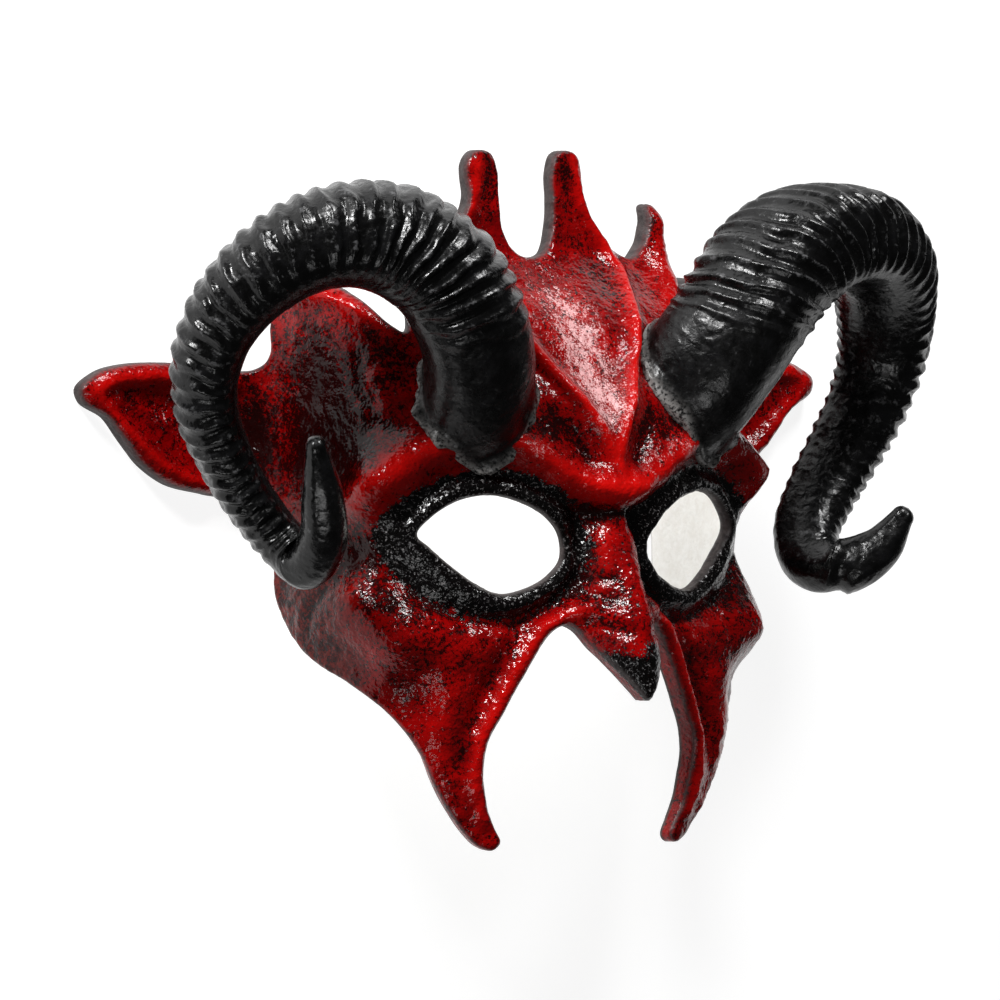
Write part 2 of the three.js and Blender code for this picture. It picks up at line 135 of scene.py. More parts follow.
# Raised and sunk forms: points (w, y, rise, reach); `behind` is the share the hollow side
# follows, and `paint` a painted highlight on a crest when above zero, painted shade in a fold below.
RIDGES = [
    ("nose", 0.75, 0.0, [(0, 4, 4, 6), (0, -10, 11.4, 6.5), (0, -21, 16.7, 8.5),
                         (0, -31, 18.6, 10.5), (0, -44, 18.4, 9)]),
    ("brow", 0.5, 0.7, [(0, 14.5, 3.5, 5.6), (9, 14.8, 4, 5.6), (17, 18, 4.5, 5.6),
                        (24, 23.4, 4.5, 5.4), (31, 27.4, 4, 5), (39, 29, 3.6, 5),
                        (48, 28, 4, 5.4), (57, 25, 5, 6), (66, 18, 7, 7), (72, 11, 4.5, 6)]),
    ("brow knot", 0.6, 0.5, [(-6, 14, 2.4, 6), (6, 14, 2.4, 6)]),
    ("socket upper", 0.6, -0.2, [(6, 6, -3.4, 3), (13, 11, -3, 3.4), (24, 17.5, -2.4, 3.6),
                                 (38, 20, -2.2, 3.4), (50, 17.5, -2.4, 3.4), (60, 10, -2, 3.4)]),
    ("eyelid", 0.0, 0.0, [(59.8, 2.5, 1, 2.4), (54, 10, 1.3, 2.4), (46.5, 14.4, 1.4, 2.4),
                          (37.5, 16, 1.4, 2.4), (27.5, 14, 1.4, 2.4), (18.5, 8.8, 1.2, 2.4),
                          (12.8, 1.4, 1, 2.4), (12.6, -5.4, 1, 2.4), (17.6, -11.4, 1.4, 2.4),
                          (26, -15.3, 1.6, 2.4), (33.8, -16.6, 1.8, 2.4), (41.6, -13.6, 1.6, 2.4),
                          (49.5, -8.4, 1.4, 2.4), (59.8, 2.5, 1, 2.4)]),
    ("socket lower", 0.5, -0.5, [(10.5, -9, -1.6, 2.4), (18, -18, -2, 2.2), (30, -21.6, -2, 2.2),
                                 (43, -20.6, -2, 2.2), (54, -15.4, -2, 2.4), (63, -7, -1.6, 2.6)]),
    ("cheekbone", 0.75, 0.2, [(38, -28, 2, 7), (50, -28.5, 4.5, 9), (61, -25, 9.6, 9.5),
                              (70, -18, 6, 9)]),
    ("cheek welt", 0.3, 0.9, [(8, -20.5, 1.4, 3), (14.8, -19, 2.8, 3), (21, -22.4, 3, 2.8),
                              (25.8, -29.4, 2.8, 2.8), (30.4, -37.2, 2.6, 2.8),
                              (34.8, -45, 2.6, 2.8), (38.8, -53, 2.4, 2.8), (39.8, -64, 2, 2.8),
                              (36.4, -74, 1.4, 2.6)]),
    ("cheek groove", 0.3, -0.25, [(28, -24, -0.8, 3), (33, -32, -1.6, 3.4), (37.6, -41, -1.8, 3.4),
                                  (42, -50, -1.4, 3.4), (45, -58, -0.6, 3)]),
    ("jaw swell", 0.7, 0.3, [(47, -40, 2.6, 6.5), (50, -50, 2.6, 6.5), (48, -60, 2, 6),
                             (44, -70, 1, 5)]),
    ("forehead ridge", 0.2, 1.0, [(0, 22, 1.6, 2.8), (3.4, 30, 3, 2.5), (7.8, 38, 3.6, 2.4),
                                  (12.4, 45, 3.8, 2.4), (17, 52, 3.8, 2.4), (21.6, 60, 3.8, 2.5),
                                  (25.2, 68, 3.4, 2.6), (28.4, 74.5, 3, 2.6), (26.2, 81, 2.4, 2.8),
                                  (21.8, 88, 2, 2.8), (18, 96, 1.8, 2.8), (16.5, 103, 1, 2.8)]),
    ("forehead valley", 0.7, -0.1, [(0, 33, -0.6, 7), (0, 42, -1.6, 7), (0, 52, -2.2, 7.5),
                                    (0, 62, -2.6, 8), (0, 72, -2.4, 8)]),
    ("forehead fold", 0.4, -0.6, [(8.5, 22, -1.6, 2.6), (12.5, 29, -1.8, 2.6), (17.5, 36, -1, 2.6)]),
    ("small spike", 0.75, 0.6, [(42, 62, 1.6, 5), (47, 72, 4, 5), (48.6, 86, 4.4, 5)]),
    ("nose fold upper", 0.1, -0.7, [(3.4, -9, -0.5, 1.3), (8, -9.6, -1.1, 1.3), (12, -12, -0.7, 1.3)]),
    ("nose fold middle", 0.1, -0.7, [(4, -15.5, -0.7, 1.4), (8.6, -13.8, -1.3, 1.4),
                                     (14, -14, -1.2, 1.4), (19, -16.4, -0.6, 1.4)]),
    ("nose fold lower", 0.1, -0.7, [(3.4, -24, -0.6, 1.4), (7.4, -21.2, -1.3, 1.5),
                                    (11, -20.6, -0.9, 1.4)]),
    ("bridge fold", 0.1, -0.6, [(0, 8.2, -1.6, 1.5), (5, 8.6, -1.4, 1.5), (9, 9.8, -0.9, 1.5)]),
    ("bridge edge", 0.2, 0.6, [(4.6, 4, 0.9, 1.8), (5.4, -6, 1.2, 1.8), (7.6, -14, 0.9, 1.8)]),
    ("temple fold", 0.3, -0.5, [(62, 30, -0.8, 2.4), (68, 33, -1.2, 2.6), (72, 42, -1.2, 3),
                                (69, 52, -0.8, 3)]),
    ("jaw crease", 0.2, -0.4, [(72, -2, -0.6, 2), (80, -9, -1.1, 2.2), (88, -18, -0.9, 2.2),
                               (92, -26, -0.5, 2)]),
    ("ear rim above", 0.2, 0.7, [(118, 43.4, 1.8, 2.8), (130, 43.8, 2.4, 2.8), (146, 45.2, 2.4, 2.8),
                                 (160, 44.4, 2.2, 2.6), (166, 41.6, 1.4, 2.6)]),
    ("ear rim below", 0.2, 0.5, [(120, 15.6, 1.8, 2.6), (132, 16.4, 2.2, 2.6), (142, 19.4, 2.4, 2.6),
                                 (150.4, 25.6, 2.2, 2.6), (157.4, 32.6, 1.8, 2.6),
                                 (164, 38.6, 1.2, 2.6)]),
    ("ear hollow", 0.4, -0.3, [(112, 30, -0.8, 7), (126, 31, -2.2, 8), (142, 34, -2, 7),
                               (154, 38, -0.8, 5)]),
    ("ear fold", 0.1, 0.1, [(116, 31, 0.6, 2.2), (130, 30, 1.2, 2.4), (144, 33.6, 1, 2.2),
                            (156, 39, 0.5, 2)]),
    ("temple rim", 0.2, 0.7, [(58, 57, 1, 2.8), (66, 64, 1.8, 2.8), (74, 66.8, 2.2, 2.8),
                              (84, 68, 2, 2.8), (96, 67, 1, 2.8)]),
]
MOUNDS = [  # at w, y, reach along, reach up, rise, behind
    (86, 42, 16, 17, -3.2, 0.85),  # hollow of the temple
    (67, 17, 9, 8, 3.2, 0.8),  # outer end of the brow
    (66, 1, 8, 7, 0.8, 0.7),  # outer corner of the eye
    (10, 3, 4.4, 8, -3.4, 0.6),  # inner corner of the eye
    (11.5, -17, 4.6, 4.4, 3, 0.7),  # wing of the nose
    (86, -18, 15, 12, 2.4, 0.9),  # side of the jaw
]
# Painted shade and painted highlights as soft patches: w, y, reach along, reach up, amount.
SHADOWS = [
    (88, 40, 15, 18, 1.0), (80, 24, 11, 10, 0.7), (72, -3, 10, 7, 0.75), (96, 20, 10, 9, 0.45),
    (30, 34, 9, 5, 0.35), (18, 30, 5, 5, 0.4), (6, 8, 9, 2.6, 0.6), (40, 30, 22, 3.6, 0.25),
    (60, -16, 12, 5, 0.5), (9, -20, 6, 5, 0.3), (112, 28, 5, 13, 0.7), (46, 84, 3, 7, 0.3),
    (62, 52, 9, 9, 0.35), (26, 52, 5, 8, 0.35), (46, -62, 4, 16, 0.2), (9, -4, 4, 9, 0.6),
    (14, 100, 3, 9, 0.5), (52, -30, 12, 7, 0.3), (20, 72, 5, 7, 0.3),
]
PAINTED_HIGHLIGHTS = [
    (0, 54, 11, 18, 1.2), (0, 36, 7, 7, 0.7), (26, 26, 8, 3.5, 0.7), (0, -6, 4, 8, 0.15),
    (32, -26, 8, 7, 0.3), (42, -34, 6, 9, 0.2), (14, -17, 4, 3, 0.15), (136, 34, 12, 6, 0.6),
    (160, 40, 6, 4, 0.35), (78, 58, 10, 6, 0.2), (52, -42, 5, 9, 0.25), (16, 90, 3, 9, 0.25),
    (12, 22, 8, 5, 0.35),
]

# Middle line of the right horn, from inside the forehead outwards: x, y, z.
HORN_PATH = [
    (34.6, 32.6, -9.5), (37.6, 41, 0.5), (42.6, 52, 7.2), (49.6, 63, 10.4), (59, 73.4, 11),
    (74, 81, 9), (91, 81.2, 6.5), (104.6, 74.6, 1.5), (113, 63.5, -6), (116.6, 50.4, -11.5),
    (114.6, 37.6, -14.6), (108, 25, -16.2), (98.8, 12, -16.4),
]
# The last stretch of that line, which differs between the two horns.
HORN_TIPS = {
    "left": [(91.4, 2, -13.5), (89, -4, -6), (91, 2.5, 3.4), (95, 13.5, 8.6), (99.6, 27, 12.4)],
    "right": [(91, 0.8, -13.6), (88, -6.8, -7), (91.6, -8.6, 2), (98.4, -4, 8.6), (104, 5, 12.4)],
}
HORN_GIRTH = [  # share of the length, half width towards the loop, half width along its axis
    (0, 16.4, 18), (0.1, 16.2, 18), (0.27, 16.2, 18), (0.4, 13.8, 16), (0.52, 11, 13.6),
    (0.62, 9, 11.6), (0.72, 7.6, 10.4), (0.82, 7.2, 9.2), (0.9, 6.8, 8), (0.96, 5.2, 5.8),
    (1, 3, 3.2),
]

# The photograph's view: the camera looks down on the lying mask, from the viewer's left of
# the face's own axis, with the crown up in the picture. Lengths of the view, the lamps and the
# floor are in metres, and those of the lens in millimetres.
YAW = math.radians(38)
PITCH = math.radians(1.5)
CAMERA_AWAY = 2.5
AIM_RIGHT = -0.02215
AIM_UP = 0.01114
LENS_MM = 331.2
SENSOR_MM = 36
LAMPS = [  # name; place to the camera's right, up and towards it; size; watts
    ("key", (-0.48, 0.85, 0.8), 0.18, 15),
    ("fill", (-0.1, -0.6, 1.0), 0.3, 1.8),
    ("side", (-0.9, 0.25, 0.45), 0.2, 3),
    ("back", (0.4, 1.0, 0.35), 0.24, 10),
]
LAMP_AIM = Vector((0, 0, -0.02))  # from the face's own origin
WORLD_GLOW = 0.05
FLOOR_GLOW = 0.86
FLOOR_HALF = 4.0
FLOOR_GAP = 0.0004


def smoothstep(low, high, value):
    t = np.clip((value - low) / (high - low), 0.0, 1.0)
    return t * t * (3 - 2 * t)


def in_table(table, key, column=1):
    """Smooth value of a (key, value...) table between its rows."""
    rows = np.array(table, float)
    keys, values = rows[:, 0], rows[:, column]
    slopes = np.gradient(values, keys)
    key = np.clip(np.asarray(key, float), keys[0], keys[-1])
    i = np.clip(np.searchsorted(keys, key, side="right"), 1, len(keys) - 1)
    gap = keys[i] - keys[i - 1]
    t = (key - keys[i - 1]) / gap
    rise = t * t * (3 - 2 * t)
    return (values[i - 1] * (1 - rise) + values[i] * rise
            + gap * (slopes[i - 1] * t * (1 - t) ** 2 - slopes[i] * t * t * (1 - t)))


def curve_through(points, closed=False, fine=60):
    """Centripetal curve through the points, as a dense polyline."""
    p = np.array(points, float)
    if closed:
        p = np.vstack([p[-1], p, p[0], p[1]])
    else:
        p = np.vstack([2 * p[0] - p[1], p, 2 * p[-1] - p[-2]])
    made = []
    for i in range(1, len(p) - 2):
        a, b, c, d = p[i - 1 : i + 3]
        t1 = math.sqrt(np.linalg.norm(b - a))
        t2 = t1 + math.sqrt(np.linalg.norm(c - b))
        t3 = t2 + math.sqrt(np.linalg.norm(d - c))
        t = np.linspace(t1, t2, fine, endpoint=False)[:, None]
        ab = (t1 - t) / t1 * a + t / t1 * b
        bc = (t2 - t) / (t2 - t1) * b + (t - t1) / (t2 - t1) * c
        cd = (t3 - t) / (t3 - t2) * c + (t - t2) / (t3 - t2) * d
        abc = (t2 - t) / t2 * ab + t / t2 * bc
        bcd = (t3 - t) / (t3 - t1) * bc + (t - t1) / (t3 - t1) * cd
        made.append((t2 - t) / (t2 - t1) * abc + (t - t1) / (t2 - t1) * bcd)
    made.append((p[1] if closed else p[-2])[None, :])
    return np.vstack(made)


def along(polyline, count):
    """The polyline's points at an even spacing."""
    run = np.r_[0, np.cumsum(np.linalg.norm(np.diff(polyline, axis=0), axis=1))]
    at = np.linspace(0, run[-1], count)
    return np.column_stack([np.interp(at, run, polyline[:, k]) for k in range(polyline.shape[1])])


def length_of(polyline):
    return float(np.linalg.norm(np.diff(polyline, axis=0), axis=1).sum())


def smooth_loop(points, step):
    dense = curve_through(points, closed=True)
    count = round(length_of(dense) / step)
    return along(dense, count + 1)[:-1]


def mirrored(points):
    return [(-p[0], *p[1:]) for p in reversed(points)]


section_points = mirrored(SECTION[1:]) + SECTION
section = curve_through(section_points)
section_half = length_of(section) / 2
section = along(section, int(section_half * 8) + 1)
section_w = np.linspace(-section_half, section_half, len(section))
section_slope = np.gradient(section, section_w, axis=0)


def on_face(w, y, h):
    """Points at w along the section, height y, and h out of the surface, in the face's frame."""
    x = np.interp(w, section_w, section[:, 0])
    z = np.interp(w, section_w, section[:, 1])
    dx = np.interp(w, section_w, section_slope[:, 0])
    dz = np.interp(w, section_w, section_slope[:, 1])
    share = in_table(DEPTH_SHARE, y)
    size = np.hypot(dz * share, dx)
    nx, nz = -dz * share / size, dx / size
    return np.column_stack([x + nx * h, y, REAR + (z - REAR) * share + nz * h])


def near_line(line, w, y):
    """Distance to a line of (w, y, rise, reach), and the rise and reach at its nearest point."""
    line = np.array(line, float)
    best = np.full(len(w), 1e9)
    rise = np.zeros(len(w))
    reach = np.ones(len(w))
    for a, b in zip(line[:-1], line[1:]):
        d = b[:2] - a[:2]
        t = np.clip(((w - a[0]) * d[0] + (y - a[1]) * d[1]) / (d @ d), 0, 1)
        distance = np.hypot(w - a[0] - t * d[0], y - a[1] - t * d[1])
        nearer = distance < best
        best = np.where(nearer, distance, best)
        if line.shape[1] > 2:
            rise = np.where(nearer, a[2] + t * (b[2] - a[2]), rise)
            reach = np.where(nearer, a[3] + t * (b[3] - a[3]), reach)
    return best, rise, reach


def relief(w, y):
    """How far the front rises, how far the hollow side follows, and the painted highlight on crests
    and painted shade in folds.
    """
    side = np.abs(w)
    front = np.zeros(len(w))
    back = np.zeros(len(w))
    painted_light_shade = np.zeros(len(w))
    for _name, behind, paint, line in RIDGES:
        distance, rise, reach = near_line(line, side, y)
        bell = np.exp(-((distance / reach) ** 2))
        front += rise * bell
        back += rise * bell * behind
        painted_light_shade += paint * np.exp(-((distance / (0.7 * reach)) ** 2))
    for at_w, at_y, reach_w, reach_y, rise, behind in MOUNDS:
        bell = np.exp(-(((side - at_w) / reach_w) ** 2 + ((y - at_y) / reach_y) ** 2))
        front += rise * bell
        back += rise * bell * behind
    return front, back, np.clip(painted_light_shade, -1, 1)


def patches(table, w, y):
    """Strength of soft round patches, from 0 to 1."""
    side = np.abs(w)
    total = np.zeros(len(w))
    for at_w, at_y, reach_w, reach_y, amount in table:
        total += amount * np.exp(-(((side - at_w) / reach_w) ** 2 + ((y - at_y) / reach_y) ** 2))
    return np.clip(total, 0, 1)


def to_loop(loop, w, y):
    return near_line(np.vstack([loop, loop[:1]]), w, y)[0]


def to_nearest(loops, w, y):
    return np.min([to_loop(loop, w, y) for loop in loops], axis=0)


def inside(loop, w, y):
    """True for points within the loop."""
    a = loop
    b = np.roll(loop, -1, axis=0)
    hit = np.zeros(len(w), bool)
    for (ax, ay), (bx, by) in zip(a, b):
        if ay == by:
            continue
        crosses = (y < ay) != (y < by)
        hit ^= crosses & (w < ax + (y - ay) * (bx - ax) / (by - ay))
    return hit


def inset(loop, depth):
    """The loop's points moved into the sheet, which lies to the left of the loop."""
    ahead = np.roll(loop, -1, axis=0) - np.roll(loop, 1, axis=0)
    normal = np.column_stack([-ahead[:, 1], ahead[:, 0]])
    normal /= np.linalg.norm(normal, axis=1)[:, None]
    return loop + normal * depth


def counter_clockwise(loop):
    x, y = loop[:, 0], loop[:, 1]
    area = (x * np.roll(y, -1) - np.roll(x, -1) * y).sum()
    return loop if area > 0 else loop[::-1]


def lattice(step):
    """Flat points in an even triangle pattern, over more than the whole sheet."""
    rows = []
    height = step * math.sqrt(3) / 2
    for i, y in enumerate(np.arange(SHEET_LOW, SHEET_HIGH, height)):
        offset = step / 2 if i % 2 else 0
        w = np.arange(-SHEET_HALF_WIDTH, SHEET_HALF_WIDTH, step) + offset
        rows.append(np.column_stack([w, np.full(len(w), y)]))
    return np.vstack(rows)


def triangulate(points, loops_at):
    """Triangles over flat points, with the loops' own edges kept."""
    edges = []
    for start, count in loops_at:
        edges += [(start + i, start + (i + 1) % count) for i in range(count)]
    made = delaunay_2d_cdt([Vector(p) for p in points], edges, [], 0, 1e-5)
    source = [origins[0] for origins in made[3]]
    return np.array([[source[v] for v in face] for face in made[2]])


outline = counter_clockwise(smooth_loop(OUTLINE + mirrored(OUTLINE[1:-1]), RIM_STEP))
eye_right = counter_clockwise(smooth_loop(EYE, EYE_RIM_STEP))[::-1]
eye_left = counter_clockwise(smooth_loop(mirrored(EYE), EYE_RIM_STEP))[::-1]
LOOPS = [outline, eye_right, eye_left]
LOOP_SIZES = [len(loop) for loop in LOOPS]
RIM_COUNT = sum(LOOP_SIZES)


def on_sheet(points):
    """True for flat points inside the outline and outside the eye holes."""
    solid = inside(outline, points[:, 0], points[:, 1])
    for hole in LOOPS[1:]:
        solid &= ~inside(hole, points[:, 0], points[:, 1])
    return solid


def sheet_points(step, depths):
    """Rim loops first, then inset rings, then an even lattice: all the points of one side."""
    kept = [np.vstack(LOOPS)]
    for depth in depths:
        ring = np.vstack([inset(loop, depth) for loop in LOOPS])
        kept.append(ring[to_nearest(LOOPS, ring[:, 0], ring[:, 1]) > 0.93 * depth])
    grid = lattice(step)
    grid = grid[on_sheet(grid)]
    kept.append(grid[to_nearest(LOOPS, grid[:, 0], grid[:, 1]) > depths[-1] + 0.55 * step])
    points = np.vstack(kept)
    starts = np.cumsum([0] + LOOP_SIZES[:-1])
    faces = triangulate(points, list(zip(starts, LOOP_SIZES)))
    faces = faces[on_sheet(points[faces].mean(axis=1))]
    a, b, c = (points[faces[:, k]] for k in range(3))
    turn = (b[:, 0] - a[:, 0]) * (c[:, 1] - a[:, 1]) - (b[:, 1] - a[:, 1]) * (c[:, 0] - a[:, 0])
    faces[turn < 0] = faces[turn < 0][:, ::-1]
    return points, faces


def edge_distance(w, y):
    """Distance to the nearest rim. The rims' own points come first and get none."""
    edge = to_nearest(LOOPS, w, y)
    edge[:RIM_COUNT] = 0
    return edge


def skin_noise(points, scale, seed):
    return np.array([noise.fractal(Vector((p[0] * scale, p[1] * scale, seed)), 0.9, 2.1, 3)
                     for p in points])


def quarter_round(distance, radius):
    """How far a rounded edge lies below the surface, at a distance from the rim."""
    inner = np.clip(radius - distance, 0, radius)
    return radius - np.sqrt(radius * radius - inner * inner)


def mesh_object(name, vertices, faces, attributes):
    mesh = bpy.data.meshes.new(name)
    mesh.from_pydata((vertices * MM).tolist(), [], [list(map(int, f)) for f in faces])
    mesh.validate()
    for key, values in attributes.items():
        layer = mesh.attributes.new(key, "FLOAT", "POINT")
        layer.data.foreach_set("value", np.asarray(values, np.float32))
    mesh.polygons.foreach_set("use_smooth", [True] * len(mesh.polygons))
    mesh.update()
    made = bpy.data.objects.new(name, mesh)
    bpy.context.scene.collection.objects.link(made)
    return made


def wall_at(w, y):
    """Thickness of the wall, less at the eye holes and at the point of the nose."""
    from_eye = to_nearest(LOOPS[1:], w, y)
    wall = EYE_WALL + (WALL - EYE_WALL) * np.clip(from_eye / EYE_WALL_REACH, 0, 1)
    from_beak = np.hypot(w, y - OUTLINE[-1][1])
    beak = BEAK_WALL + (WALL - BEAK_WALL) * np.clip(from_beak / BEAK_WALL_REACH, 0, 1)
    return np.minimum(wall, beak)


def rim_faces(levels):
    """Quads along the cut rim, between rows that start at the given vertices."""
    faces = []
    start = 0
    for count in LOOP_SIZES:
        for upper, lower in zip(levels[:-1], levels[1:]):
            for i in range(count):
                a, b = start + i, start + (i + 1) % count
                faces.append((upper + b, upper + a, lower + a, lower + b))
        start += count
    return faces


def face_masks(w, y, edge, grain, fine, painted_light_shade):
    """How strongly each kind of paint covers the front's points."""
    side_w = np.abs(w)
    paint_edge = counter_clockwise(smooth_loop(EYE_PAINT, 1.5))
    within = np.where(inside(paint_edge, side_w, y), 1.0, -1.0)
    ring = within * to_loop(paint_edge, side_w, y)
    eye_black = smoothstep(-2.2, 1.4, ring + 1.6 * fine)
    nose_tip = smoothstep(-24, -32, y + 3 * grain) * smoothstep(12, 7, side_w)
    dull = smoothstep(66, 84, side_w) * smoothstep(20, -8, y) * smoothstep(112, 104, side_w)
    return {
        "black": np.maximum(eye_black, nose_tip),
        # Crests painted brighter as highlight, folds painted darker as shade.
        "crest": np.clip(painted_light_shade, 0, 1) * smoothstep(0, 2, edge),
        "folds": np.clip(-painted_light_shade, 0, 1),
        "bare": smoothstep(0.75, 0.1, edge) * 0.9,
        "dull": dull,
        # Soft patches of painted shade and of painted highlight.
        "shadow": patches(SHADOWS, w, y),
        "painted_highlight": patches(PAINTED_HIGHLIGHTS, w, y),
    }


def build_face():
    front, front_faces = sheet_points(FACE_STEP, FACE_RINGS)
    back, back_faces = sheet_points(BACK_STEP, BACK_RINGS)

    w, y = front[:, 0], front[:, 1]
    edge = edge_distance(w, y)
    rise, _, painted_light_shade = relief(w, y)
    grain = skin_noise(front, 0.16, 3.1)
    fine = skin_noise(front, 0.55, 8.7)
    height = rise + GRAIN * grain + FINE_GRAIN * fine - quarter_round(edge, FRONT_ROUND)
    front_at = on_face(w, y, height)

    wb, yb = back[:, 0], back[:, 1]
    edge_back = edge_distance(wb, yb)
    _, hollow, _ = relief(wb, yb)
    rough = BACK_GRAIN * skin_noise(back, 0.12, 5.5)
    depth = hollow - wall_at(wb, yb) + rough + quarter_round(edge_back, BACK_ROUND)
    back_at = on_face(wb, yb, depth)

    # The cut rim between the two sides.
    rim_rows = []
    for row in range(1, RIM_ROWS + 1):
        t = row / (RIM_ROWS + 1)
        wobble = RIM_GRAIN * skin_noise(front[:RIM_COUNT] + row * 7, 0.5, 1.3)[:, None]
        rim_rows.append(front_at[:RIM_COUNT] * (1 - t) + back_at[:RIM_COUNT] * t + wobble)
    vertices = np.vstack([front_at, *rim_rows, back_at]) + SHIFT
    vertices[:, 2] = np.maximum(vertices[:, 2], 0.0)
    first_row = len(front_at)
    first_back = first_row + RIM_ROWS * RIM_COUNT
    levels = [0, *(first_row + row * RIM_COUNT for row in range(RIM_ROWS)), first_back]
    faces = [*front_faces, *(back_faces[:, ::-1] + first_back), *rim_faces(levels)]

    others = len(vertices) - len(front_at)
    masks = {key: np.r_[value, np.full(others, 1.0 if key == "bare" else 0.0)]
             for key, value in face_masks(w, y, edge, grain, fine, painted_light_shade).items()}
    # Paint runs over the cut rim of the cheek points; the other rims are bare.
    rim_bare = 1.0 - 0.85 * smoothstep(-20, -32, front[:RIM_COUNT, 1])
    masks["bare"][first_row:first_back] = np.tile(rim_bare, RIM_ROWS)
    masks["bare"][:RIM_COUNT] *= rim_bare
    masks["inner"] = np.r_[np.zeros(first_back), smoothstep(0.2, 1.5, edge_back)]
    return mesh_object("mask_skin", vertices, faces, masks)


def height_over_face(points):
    """Signed height of points over the front, in the face's own frame."""
    share = in_table(DEPTH_SHARE, points[:, 1])
    near = np.abs(section_w) < 80
    sx, sz, sw = section[near, 0], section[near, 1], section_w[near]
    gap_x = points[:, None, 0] - sx[None, :]
    gap_z = points[:, None, 2] - (REAR + (sz[None, :] - REAR) * share[:, None])
    best = np.argmin(gap_x**2 + gap_z**2, axis=1)
    w = sw[best]
    foot = on_face(w, points[:, 1], np.zeros(len(w)))
    normal = on_face(w, points[:, 1], np.ones(len(w))) - foot
    rise, _, _ = relief(w, points[:, 1])
    return ((points - foot) * normal).sum(axis=1) - rise


HORN_ANGLES = (np.arange(HORN_SIDES) + 0.5) * 2 * math.pi / HORN_SIDES


def horn_profile():
    """Where the horn's sides lie, as shares of its half widths: out of the loop, and across."""
    cos, sin = np.cos(HORN_ANGLES), np.sin(HORN_ANGLES)
    out = np.sign(cos) * np.abs(cos) ** HORN_SQUARENESS * np.where(cos < 0, HORN_INSIDE, 1.0)
    return out, np.sign(sin) * np.abs(sin) ** HORN_SQUARENESS


HORN_OUT, HORN_ACROSS = horn_profile()


def horn_places(name, side):
    """The horn's length, and a function that gives points of its surface."""
    drawn = np.array(HORN_PATH + HORN_TIPS[name], float)
    drawn[:, 0] *= side
    line = along(curve_through(drawn), 2001)
    share_at = np.linspace(0, 1, len(line))
    slope = np.gradient(line, share_at, axis=0)
    axis = LOOP_AXIS * np.array([side, 1, 1])
    axis /= np.linalg.norm(axis)

    def place(shares, grow):
        """Points of the horn at a share of its length for each angle; grow is in mm."""
        centre = np.stack([np.interp(shares, share_at, line[:, k]) for k in range(3)], axis=-1)
        ahead = np.stack([np.interp(shares, share_at, slope[:, k]) for k in range(3)], axis=-1)
        ahead /= np.linalg.norm(ahead, axis=-1, keepdims=True)
        lateral = axis - ahead * (ahead @ axis)[..., None]
        lateral /= np.linalg.norm(lateral, axis=-1, keepdims=True)
        outward = np.cross(lateral, ahead) * side
        radial = in_table(HORN_GIRTH, shares, 1) + grow
        wide = in_table(HORN_GIRTH, shares, 2) + grow
        lean = RIB_SLANT * HORN_OUT * radial - RIB_TWIST * HORN_ACROSS * wide
        lean = lean * smoothstep(0.1, 0.17, shares) * (1 - shares)
        return (centre + outward * (HORN_OUT * radial)[..., None]
                + lateral * (HORN_ACROSS * wide)[..., None] - ahead * lean[..., None])

    return length_of(line), place


def horn_foot(place):
    """Share of the horn's length at which each of its sides leaves the forehead."""
    tries = np.linspace(0.0, 0.13, 76)
    over = np.stack([height_over_face(place(np.full(HORN_SIDES, s), np.zeros(HORN_SIDES)))
                     for s in tries])
    foot = np.zeros(HORN_SIDES)
    for k in range(HORN_SIDES):
        below = np.nonzero(over[:, k] < -0.6)[0]
        foot[k] = tries[below[-1]] if len(below) else 0.0
    return sum(np.roll(foot, k) for k in range(-4, 5)) / 9


def horn_ring(share, rise_mm, side):
    """Growth in mm, painted crest highlight and glue rim of one ring; rise_mm is its way from the
    foot.
    """
    first_rib, last_rib = RIB_SHARE
    turn = np.column_stack([np.cos(HORN_ANGLES), np.sin(HORN_ANGLES)]) * 1.3
    wave = np.array([noise.noise(Vector((u * 1.6, v * 1.6, share * 26 + side * 5)))
                     for u, v in turn])
    small = np.array([noise.noise(Vector((u * 5, v * 5, share * 120 + side * 9)))
                      for u, v in turn])
    phase = (share - first_rib) / (last_rib - first_rib) * RIB_COUNT + 0.34 * wave
    ramp = phase - np.floor(phase)
    ridge = np.where(ramp < RIB_RISE, (ramp / RIB_RISE) ** 1.25,
                     ((1 - ramp) / (1 - RIB_RISE)) ** 0.8)
    twin = 0.1 * np.cos(4 * math.pi * ramp + 2.4 * wave)
    fade_in = smoothstep(first_rib - 0.02, first_rib + 0.05, share)
    fade_out = smoothstep(last_rib + 0.02, last_rib - 0.12, share)
    fade_inside = smoothstep(-0.8, -0.1, HORN_OUT)
    uneven = 0.8 + 0.5 * wave
    girth = float(in_table(HORN_GIRTH, share, 1)) / HORN_GIRTH[0][1]
    amount = RIB_DEPTH * girth**0.5 * fade_in * fade_out * fade_inside * uneven
    ragged = 1 + 1.1 * wave + 0.9 * small
    collar = GLUE_HEIGHT * np.exp(-(((rise_mm - GLUE_MIDDLE) / GLUE_REACH) ** 2)) * ragged
    skin = 0.22 * wave + 0.10 * small
    grow = amount * (ridge + twin - 0.5) + skin + collar
    crest = np.clip((ridge - 0.35) * fade_in * fade_out * fade_inside, 0, 1)
    crest = crest + 0.35 * (1 - fade_inside) * fade_in
    rim = np.exp(-(((rise_mm - 0.8) / GLUE_REACH) ** 2))
    return grow, crest, rim


def horn_end(rings):
    """Rings that round off the tip, and its last point."""
    centre = rings[-1].mean(axis=0)
    ahead = centre - rings[-3].mean(axis=0)
    ahead /= np.linalg.norm(ahead)
    reach = HORN_GIRTH[-1][1]
    caps = [centre + (rings[-1] - centre) * math.sqrt(1 - t * t) + ahead * reach * t
            for t in np.linspace(0, 1, 8)[1:-1]]
    return caps, centre + ahead * reach


